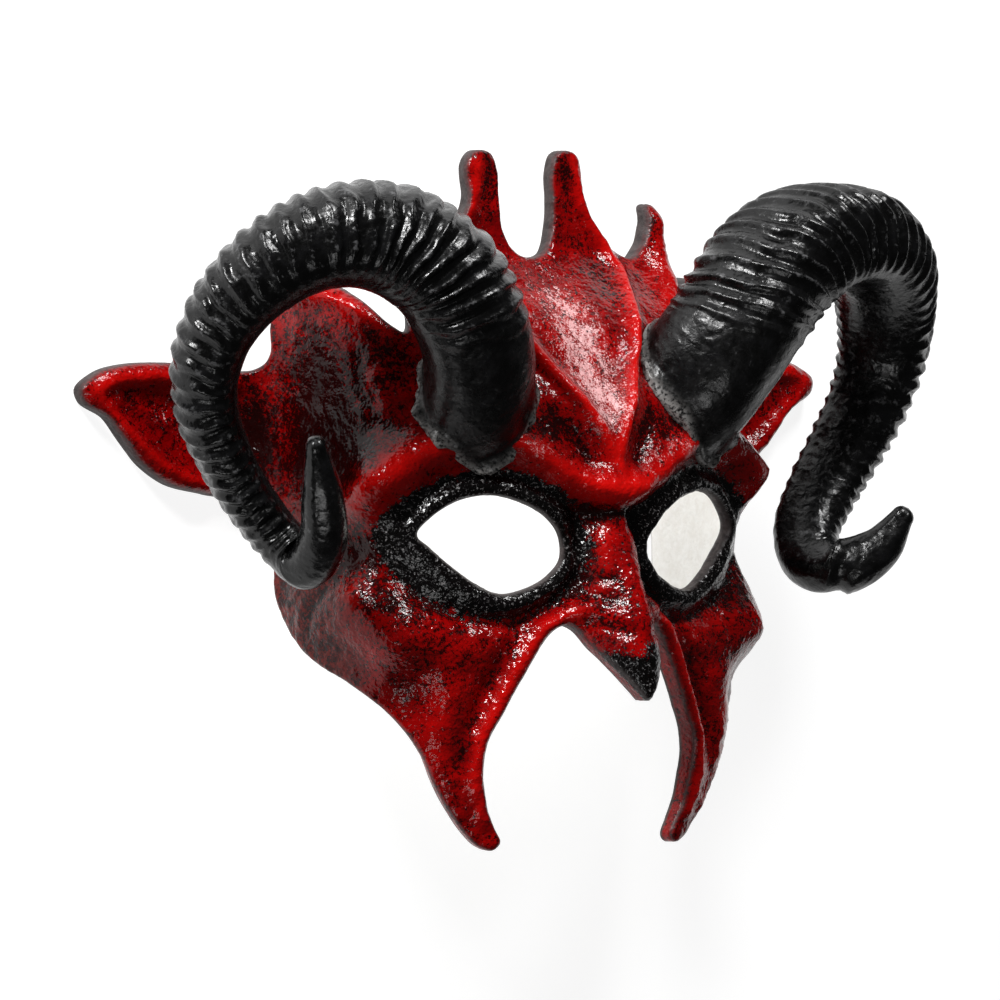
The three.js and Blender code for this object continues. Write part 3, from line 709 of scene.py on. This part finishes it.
def horn_faces(count, side):
    """Quads between the rings, and fans to the points inside the forehead and at the tip."""
    faces = []
    for r in range(count - 1):
        for k in range(HORN_SIDES):
            a, b = r * HORN_SIDES + k, r * HORN_SIDES + (k + 1) % HORN_SIDES
            faces.append((a, b, b + HORN_SIDES, a + HORN_SIDES))
    root, tip = count * HORN_SIDES, count * HORN_SIDES + 1
    last = (count - 1) * HORN_SIDES
    for k in range(HORN_SIDES):
        n = (k + 1) % HORN_SIDES
        faces.append((root, n, k))
        faces.append((tip, last + k, last + n))
    if side < 0:
        faces = [tuple(reversed(f)) for f in faces]
    return faces


def build_horn(name, side):
    length, place = horn_places(name, side)
    foot = horn_foot(place)
    first_rib, last_rib = RIB_SHARE
    plain = np.linspace(0, first_rib, 46)[:-1]
    ribs = np.linspace(first_rib, last_rib, RIB_COUNT * RIB_RINGS)
    end = np.linspace(last_rib, 1, 60)[1:]
    shares = np.r_[plain, ribs, end]
    rings, crests, rims = [], [], []
    for share in shares:
        at = np.full(HORN_SIDES, share)
        if share < first_rib:
            at = foot + (first_rib - foot) * share / first_rib
        grow, crest, rim = horn_ring(share, (at - foot) * length, side)
        rings.append(place(at, grow))
        crests.append(crest)
        rims.append(rim)
    caps, tip = horn_end(rings)
    rings = np.array(rings + caps)
    crests = np.array(crests + [crests[-1]] * len(caps))
    rims = np.array(rims + [np.zeros(HORN_SIDES)] * len(caps))
    along_horn = np.repeat(np.r_[shares, np.ones(len(caps))], HORN_SIDES)
    vertices = np.vstack([rings.reshape(-1, 3), rings[0].mean(axis=0), tip])
    ends = np.zeros(2)
    return mesh_object("horn_skin_" + name, vertices + SHIFT, horn_faces(len(rings), side), {
        "crest": np.r_[crests.ravel(), ends],
        "rim": np.r_[rims.ravel(), ends],
        "length": np.r_[along_horn, ends]})


class Paint:
    """A small builder for one procedural material."""

    def __init__(self, name):
        self.material = bpy.data.materials.new(name)
        self.material.use_nodes = True
        self.tree = self.material.node_tree
        self.shader = next(n for n in self.tree.nodes if n.type == "BSDF_PRINCIPLED")
        self.place = self.node("ShaderNodeTexCoord").outputs["Object"]

    def node(self, kind, **settings):
        made = self.tree.nodes.new(kind)
        for key, value in settings.items():
            setattr(made, key, value)
        return made

    def link(self, value, socket):
        if isinstance(value, bpy.types.NodeSocket):
            self.tree.links.new(value, socket)
        else:
            socket.default_value = value

    def noise(self, scale, detail=4.0, rough=0.6, distort=0.0, stretch=None):
        made = self.node("ShaderNodeTexNoise")
        place = self.place
        if stretch:
            moved = self.node("ShaderNodeMapping")
            moved.inputs["Rotation"].default_value = stretch[1]
            moved.inputs["Scale"].default_value = stretch[0]
            self.link(place, moved.inputs["Vector"])
            place = moved.outputs["Vector"]
        self.link(place, made.inputs["Vector"])
        made.inputs["Scale"].default_value = scale
        made.inputs["Detail"].default_value = detail
        made.inputs["Roughness"].default_value = rough
        made.inputs["Distortion"].default_value = distort
        return made.outputs["Fac"]

    def value(self, name):
        return self.node("ShaderNodeAttribute", attribute_name=name).outputs["Fac"]

    def maths(self, how, a, b, clamp=False):
        made = self.node("ShaderNodeMath", operation=how, use_clamp=clamp)
        self.link(a, made.inputs[0])
        self.link(b, made.inputs[1])
        return made.outputs[0]

    def times(self, a, b):
        return self.maths("MULTIPLY", a, b)

    def plus(self, a, b, clamp=False):
        return self.maths("ADD", a, b, clamp)

    def minus(self, a, b):
        return self.maths("SUBTRACT", a, b)

    def spread(self, value, low, high, to_low=0.0, to_high=1.0):
        made = self.node("ShaderNodeMapRange", interpolation_type="SMOOTHSTEP")
        self.link(value, made.inputs["Value"])
        self.link(low, made.inputs["From Min"])
        self.link(high, made.inputs["From Max"])
        made.inputs["To Min"].default_value = to_low
        made.inputs["To Max"].default_value = to_high
        return made.outputs["Result"]

    def mix(self, amount, a, b):
        made = self.node("ShaderNodeMix", data_type="RGBA")
        self.link(amount, made.inputs[0])
        self.link(a, made.inputs[6])
        self.link(b, made.inputs[7])
        return made.outputs[2]

    def finish(self, colour, rough, height, depth_mm, specular=0.5):
        self.link(colour, self.shader.inputs["Base Color"])
        self.link(rough, self.shader.inputs["Roughness"])
        self.shader.inputs["Specular IOR Level"].default_value = specular
        bump = self.node("ShaderNodeBump")
        bump.inputs["Strength"].default_value = 1.0
        bump.inputs["Distance"].default_value = depth_mm * MM
        self.link(height, bump.inputs["Height"])
        self.tree.links.new(bump.outputs["Normal"], self.shader.inputs["Normal"])
        return self.material


def rgb(r, g, b):
    return (r, g, b, 1.0)


DEEP_RED = rgb(0.15, 0.0, 0.0004)
RED = rgb(0.3, 0.0006, 0.0006)
# Painted highlight on the crests.
CREST_HIGHLIGHT_RED = rgb(0.52, 0.003, 0.002)
WORN_DARK = rgb(0.01, 0.002, 0.002)
WORN_RED = rgb(0.15, 0.01, 0.006)
GRAIN_BLACK = rgb(0.003, 0.0005, 0.0005)
SHADOW_BLACK = rgb(0.008, 0.0006, 0.0006)
# Painted glints.
GLINT_PINK = rgb(0.72, 0.4, 0.4)
EYE_BLACK = rgb(0.0025, 0.002, 0.002)
# Painted glints on the eye black.
EYE_GLINT_GREY = rgb(0.26, 0.25, 0.25)
RIM_LATEX = (rgb(0.026, 0.02, 0.02), rgb(0.06, 0.047, 0.046))
INNER_LATEX = (rgb(0.86, 0.84, 0.8), rgb(0.93, 0.92, 0.89))
HORN_BLACK = (rgb(0.0012, 0.0012, 0.0012), rgb(0.005, 0.005, 0.0054))
# Painted highlight on the horn crests.
HORN_CREST_HIGHLIGHT = rgb(0.085, 0.085, 0.088)
GLUE_GREY = rgb(0.28, 0.27, 0.26)
FLOOR_GREY = (rgb(0.36, 0.36, 0.36), rgb(0.38, 0.38, 0.38))


def face_paint():
    p = Paint("speckled red paint")
    broad = p.noise(90, 5, 0.6)
    blotch = p.noise(300, 6, 0.7, 0.5)
    speck = p.noise(1050, 6, 0.78)
    grit = p.noise(1900, 4, 0.7)
    brush = p.noise(520, 6, 0.75, 0.2, stretch=((0.28, 1.0, 1.0), (0.0, 0.0, 0.7)))
    wrinkle = p.noise(420, 5, 0.7, 0.9, stretch=((1.0, 0.3, 1.0), (0.0, 0.0, 0.15)))
    colour = p.mix(p.spread(broad, 0.35, 0.65), DEEP_RED, RED)
    # Brighter red painted on the crests as a highlight, a dull red with brush strokes on the sides of
    # the jaw.
    colour = p.mix(p.times(p.value("crest"), 0.85), colour, CREST_HIGHLIGHT_RED)
    worn = p.mix(p.spread(brush, 0.44, 0.56), WORN_DARK, WORN_RED)
    colour = p.mix(p.times(p.value("dull"), 0.9), colour, worn)
    # Black dry-brush speckle in the grain is the mask's own paint; more of it in the folds and the
    # shadow patches is painted shade, and less on the crests is painted highlight.
    dark = p.plus(p.times(p.value("shadow"), 0.17), p.times(p.value("folds"), 0.12))
    dark = p.minus(dark, p.times(p.value("crest"), 0.08))
    mottle = p.plus(p.times(blotch, 0.35), p.times(speck, 0.65))
    mottle = p.plus(mottle, dark)
    dark = p.spread(mottle, 0.505, 0.575)
    colour = p.mix(p.times(dark, 0.95), colour, GRAIN_BLACK)
    # Painted shade: the shadow patches darkened further.
    colour = p.mix(p.times(p.value("shadow"), 0.6), colour, SHADOW_BLACK)
    # Painted highlights: pale pink glints, strongest in the painted highlight patches.
    pale = p.plus(p.times(wrinkle, 0.5), p.times(grit, 0.5))
    pale = p.plus(pale, p.times(p.value("painted_highlight"), 0.16))
    pale = p.minus(pale, p.times(p.value("shadow"), 0.14))
    pale = p.spread(pale, 0.62, 0.69)
    shown = p.spread(p.value("painted_highlight"), 0.0, 0.5, 0.5, 0.85)
    colour = p.mix(p.times(pale, shown), colour, GLINT_PINK)
    # Black round the eyes and on the nose tip, with grey specks painted on it as glints.
    ink = p.mix(p.spread(p.plus(speck, p.times(grit, 0.3)), 0.72, 0.8), EYE_BLACK, EYE_GLINT_GREY)
    black = p.plus(p.value("black"), p.times(p.minus(speck, 0.5), 2.2))
    colour = p.mix(p.spread(black, 0.4, 0.6), colour, ink)
    # Bare latex: dark on the cut rims, pale in the hollow.
    latex = p.mix(p.spread(blotch, 0.35, 0.65), *RIM_LATEX)
    colour = p.mix(p.value("bare"), colour, latex)
    unpainted = p.mix(p.spread(blotch, 0.35, 0.65), *INNER_LATEX)
    colour = p.mix(p.value("inner"), colour, unpainted)
    rough = p.spread(speck, 0.35, 0.7, 0.12, 0.22)
    rough = p.plus(rough, p.times(p.value("bare"), 0.4), clamp=True)
    grain = p.noise(480, 1.6, 0.5, 0.3)
    pores = p.noise(980, 1.2, 0.5)
    height = p.plus(p.times(grain, 0.75), p.times(pores, 0.45))
    creased = p.times(wrinkle, p.value("painted_highlight"))
    height = p.plus(height, p.times(creased, 0.8))
    return p.finish(colour, rough, height, depth_mm=0.44, specular=0.23)


def horn_paint():
    p = Paint("gloss black horn")
    blotch = p.noise(170, 5, 0.65, 0.4)
    speck = p.noise(900, 4, 0.7)
    grain = p.noise(420, 5, 0.7)
    colour = p.mix(p.spread(blotch, 0.4, 0.7), *HORN_BLACK)
    # Grey painted on the crests as a highlight.
    crest_highlight = p.plus(p.times(p.value("crest"), 0.17), grain)
    colour = p.mix(p.times(p.spread(crest_highlight, 0.62, 0.74), 0.7), colour, HORN_CREST_HIGHLIGHT)
    seam = p.times(p.value("rim"), p.spread(speck, 0.38, 0.56))
    colour = p.mix(p.times(seam, 0.95), colour, GLUE_GREY)
    rough = p.spread(grain, 0.35, 0.7, 0.19, 0.33)
    rough = p.plus(rough, p.spread(p.value("length"), 0.14, 0.2, 0.05, 0.0), clamp=True)
    scuffs = p.noise(380, 1.6, 0.5, 0.4)
    height = p.plus(p.times(scuffs, 0.8), p.times(blotch, 0.8))
    return p.finish(colour, rough, height, depth_mm=0.35, specular=0.32)


def floor_paint():
    p = Paint("pale floor")
    colour = p.mix(p.noise(3, 2, 0.5), *FLOOR_GREY)
    glow = p.shader.inputs
    glow["Emission Color"].default_value = rgb(1, 1, 1)
    glow["Emission Strength"].default_value = FLOOR_GLOW
    return p.finish(colour, 0.8, p.noise(400, 2, 0.5), depth_mm=0.02)


def build_floor():
    corners = [(x, y, -FLOOR_GAP) for x, y in (
        (-FLOOR_HALF, -FLOOR_HALF), (FLOOR_HALF, -FLOOR_HALF),
        (FLOOR_HALF, FLOOR_HALF), (-FLOOR_HALF, FLOOR_HALF))]
    mesh = bpy.data.meshes.new("floor")
    mesh.from_pydata(corners, [], [(0, 1, 2, 3)])
    floor = bpy.data.objects.new("floor", mesh)
    bpy.context.scene.collection.objects.link(floor)
    floor.data.materials.append(floor_paint())
    return floor


right = Vector((math.cos(YAW), 0, math.sin(YAW)))
up = Vector((math.sin(YAW) * math.sin(PITCH), math.cos(PITCH), -math.cos(YAW) * math.sin(PITCH)))
toward = Vector((-math.sin(YAW) * math.cos(PITCH), math.sin(PITCH), math.cos(YAW) * math.cos(PITCH)))
origin = Vector(SHIFT.tolist()) * MM


def placed(at_right, at_up, at_toward):
    return origin + right * at_right + up * at_up + toward * at_toward


def build_camera():
    data = bpy.data.cameras.new("camera")
    data.lens = LENS_MM
    data.sensor_width = SENSOR_MM
    data.clip_end = 50
    camera = bpy.data.objects.new("camera", data)
    at = Matrix.Translation(placed(AIM_RIGHT, AIM_UP, CAMERA_AWAY))
    camera.matrix_world = at @ Matrix((right, up, toward)).transposed().to_4x4()
    bpy.context.scene.collection.objects.link(camera)
    return camera


def soft_light(name, place, size, watts):
    data = bpy.data.lights.new(name, "AREA")
    data.shape = "SQUARE"
    data.size = size
    data.energy = watts
    made = bpy.data.objects.new(name, data)
    made.location = placed(*place)
    aim = origin + LAMP_AIM - made.location
    made.rotation_euler = aim.to_track_quat("-Z", "Y").to_euler()
    bpy.context.scene.collection.objects.link(made)


def studio_world():
    world = bpy.data.worlds.new("studio")
    world.use_nodes = True
    background = world.node_tree.nodes["Background"]
    background.inputs["Color"].default_value = rgb(1, 1, 1)
    background.inputs["Strength"].default_value = WORLD_GLOW
    return world


skin = build_face()
skin.data.materials.append(face_paint())
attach(skin, "root")
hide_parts("mask_face")
horn_material = horn_paint()
for horn_name, horn_side in (("left", -1), ("right", 1)):
    horn = build_horn(horn_name, horn_side)
    horn.data.materials.append(horn_material)
    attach(horn, "root")
    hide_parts("horn_" + horn_name)

build_floor()
bpy.context.scene.camera = build_camera()
for lamp in LAMPS:
    soft_light(*lamp)
bpy.context.scene.world = studio_world()
bpy.context.scene.view_settings.view_transform = "Standard"
